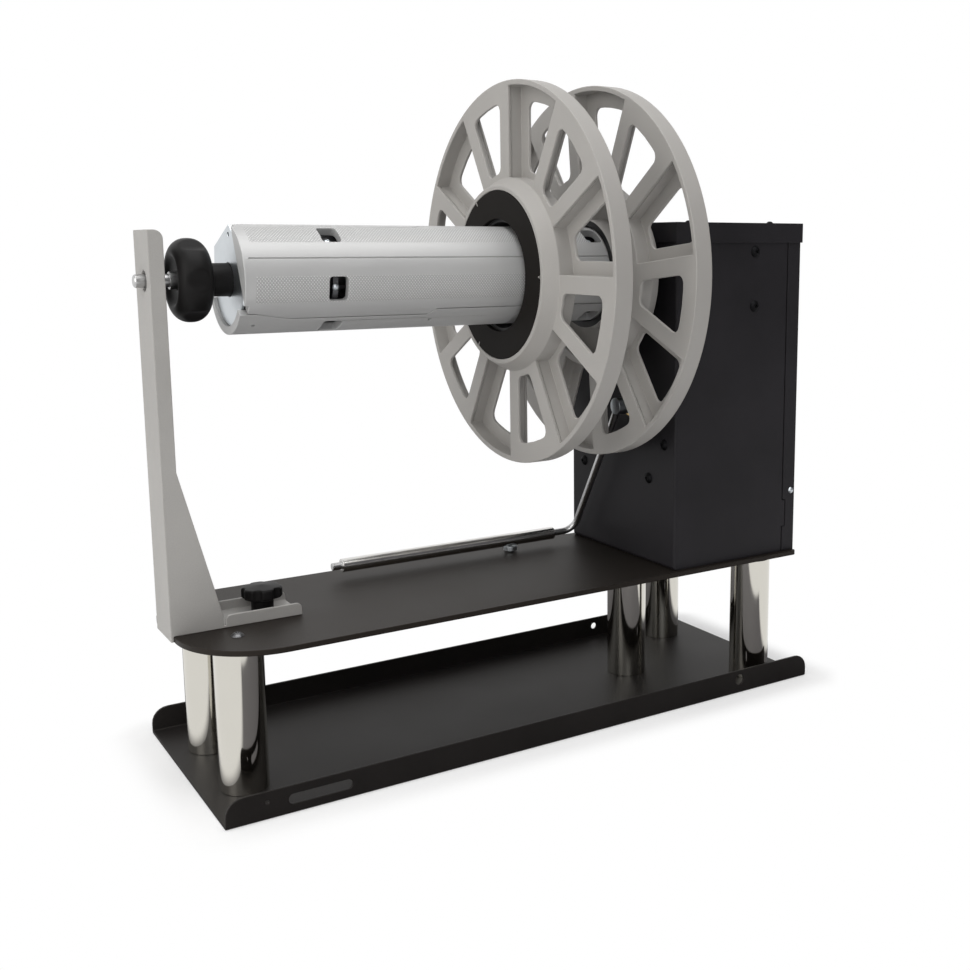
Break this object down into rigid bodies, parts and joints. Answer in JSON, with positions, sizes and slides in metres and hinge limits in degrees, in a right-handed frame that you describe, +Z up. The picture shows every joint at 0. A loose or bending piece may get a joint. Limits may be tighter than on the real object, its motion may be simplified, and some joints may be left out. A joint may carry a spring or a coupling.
{
  "type": "label unwinder",
  "caption": "Powered roll unwinder: an expanding core holder with spoked flanges between a drive box and a removable support arm, with a dancer roller, on a plate and legs over a channel tray.",
  "frame": {"origin": "centre of the tray's underside", "axes": "+X along the spindle towards the drive box, -Y the side that faces the user, +Z up"},
  "size_m": [0.5306, 0.3, 0.5033],
  "materials": {
    "black_coat": "textured powder coat",
    "plate_coat": "textured powder coat, warm black",
    "grey_coat": "light warm grey powder coat",
    "leg_chrome": "polished chrome",
    "zinc": "bright zinc plate",
    "steel": "ground steel",
    "black_steel": "black oxide",
    "jaw_metal": "satin, with knurled strips",
    "flange_plastic": "moulded light grey",
    "black_plastic": "moulded black",
    "aluminium": "turned",
    "brass": "turned",
    "belt_rubber": "matte",
    "board": "circuit board",
    "red_plastic": "moulded red"
  },
  "bodies": {
    "base": {"base_tray": "black_coat", "top_plate": "plate_coat", "leg_tubes": "leg_chrome", "leg_plugs": "steel", "leg_top_screws": "steel", "leg_bottom_screws": "zinc", "box_chassis": "black_coat", "box_lid": "black_coat", "lid_screws": "black_steel", "rear_cover": "black_coat", "cover_screws": "zinc", "panel_screws": "black_steel", "wall_screws": "black_steel", "frame_plate": "steel", "bearing_housing": "aluminium", "housing_screws": "black_steel", "bearing_outer_rings": "steel", "bearing_balls": "steel", "motor_bracket": "zinc", "bracket_posts": "zinc", "drive_motor": "black_steel", "motor_screws": "black_steel", "drive_belt": "belt_rubber", "board_bracket": "zinc", "board_standoffs": "brass", "control_board": "board", "power_supply": "zinc", "power_inlet": "black_plastic", "switch_body": "black_plastic", "angle_sensor": "black_plastic", "dancer_bush": "brass", "dancer_stop": "zinc"},
    "spindle": {"spindle_shaft": "steel", "bearing_inner_rings": "steel", "bearing_spacer": "steel", "driven_pulley": "aluminium", "core_body": "zinc", "guide_screws": "zinc", "end_plate": "zinc", "flange_carrier": "aluminium", "carrier_screws": "black_steel", "inner_flange": "flange_plastic", "inner_ring": "black_plastic"},
    "loose_flange": {"outer_flange": "flange_plastic", "outer_ring": "black_plastic"},
    "knob": {"hand_knob": "black_plastic", "knob_hub": "black_plastic"},
    "draw": {"draw_sleeve": "steel"},
    "front_jaw": {"jaw_front": "jaw_metal"},
    "lower_jaw": {"jaw_lower": "jaw_metal"},
    "rear_jaw": {"jaw_rear": "jaw_metal"},
    "rotor": {"motor_rotor": "steel", "motor_pulley": "aluminium"},
    "dancer": {"dancer_rod": "steel", "dancer_hub": "zinc"},
    "roller": {"dancer_roller": "aluminium"},
    "arm": {"support_arm": "grey_coat"},
    "clamp": {"clamp_knob": "black_plastic", "clamp_stud": "zinc"},
    "rocker": {"switch_rocker": "red_plastic"}
  },
  "joints": [
    {"name": "spindle_spin", "type": "hinge", "parent": "base", "child": "spindle", "pos_m": [0.16, 0, 0.3533], "axis": [1, 0, 0], "continuous": true},
    {"name": "motor_spin", "type": "hinge", "parent": "base", "child": "rotor", "pos_m": [0.16, 0.008, 0.2], "axis": [1, 0, 0], "continuous": true},
    {"name": "flange_slide", "type": "slide", "parent": "spindle", "child": "loose_flange", "axis": [1, 0, 0], "range_m": [-0.18, 0.05]},
    {"name": "knob_turn", "type": "hinge", "parent": "spindle", "child": "knob", "pos_m": [-0.23, 0, 0.3533], "axis": [1, 0, 0], "range_deg": [0, 270]},
    {"name": "draw_slide", "type": "slide", "parent": "spindle", "child": "draw", "axis": [1, 0, 0], "range_m": [0, 0.0015]},
    {"name": "front_jaw_slide", "type": "slide", "parent": "spindle", "child": "front_jaw", "axis": [0, -0.9205, 0.3907], "range_m": [0, 0.00075]},
    {"name": "lower_jaw_slide", "type": "slide", "parent": "spindle", "child": "lower_jaw", "axis": [0, 0.1219, -0.9925], "range_m": [0, 0.00075]},
    {"name": "rear_jaw_slide", "type": "slide", "parent": "spindle", "child": "rear_jaw", "axis": [0, 0.7986, 0.6018], "range_m": [0, 0.00075]},
    {"name": "dancer_swing", "type": "hinge", "parent": "base", "child": "dancer", "pos_m": [0.112, -0.015, 0.243], "axis": [1, 0, 0], "range_deg": [0, 60]},
    {"name": "roller_spin", "type": "hinge", "parent": "dancer", "child": "roller", "pos_m": [0, 0.056, 0.122], "axis": [1, 0, 0], "continuous": true},
    {"name": "arm_removal", "type": "slide", "parent": "base", "child": "arm", "axis": [-1, 0, 0], "range_m": [0, 0.12]},
    {"name": "clamp_turn", "type": "hinge", "parent": "base", "child": "clamp", "pos_m": [-0.195, 0, 0.12], "axis": [0, 0, 1], "range_deg": [0, 720]},
    {"name": "switch_rock", "type": "hinge", "parent": "base", "child": "rocker", "pos_m": [0.252, 0, 0.1875], "axis": [0, 1, 0], "range_deg": [0, 12]}
  ],
  "couplings": [
    {"joint": "motor_spin", "follows": "spindle_spin", "ratio": 2.5},
    {"joint": "knob_turn", "follows": "draw_slide", "rad_per_m": 3141.6},
    {"joint": "front_jaw_slide", "follows": "draw_slide", "ratio": 0.5},
    {"joint": "lower_jaw_slide", "follows": "draw_slide", "ratio": 0.5},
    {"joint": "rear_jaw_slide", "follows": "draw_slide", "ratio": 0.5}
  ]
}
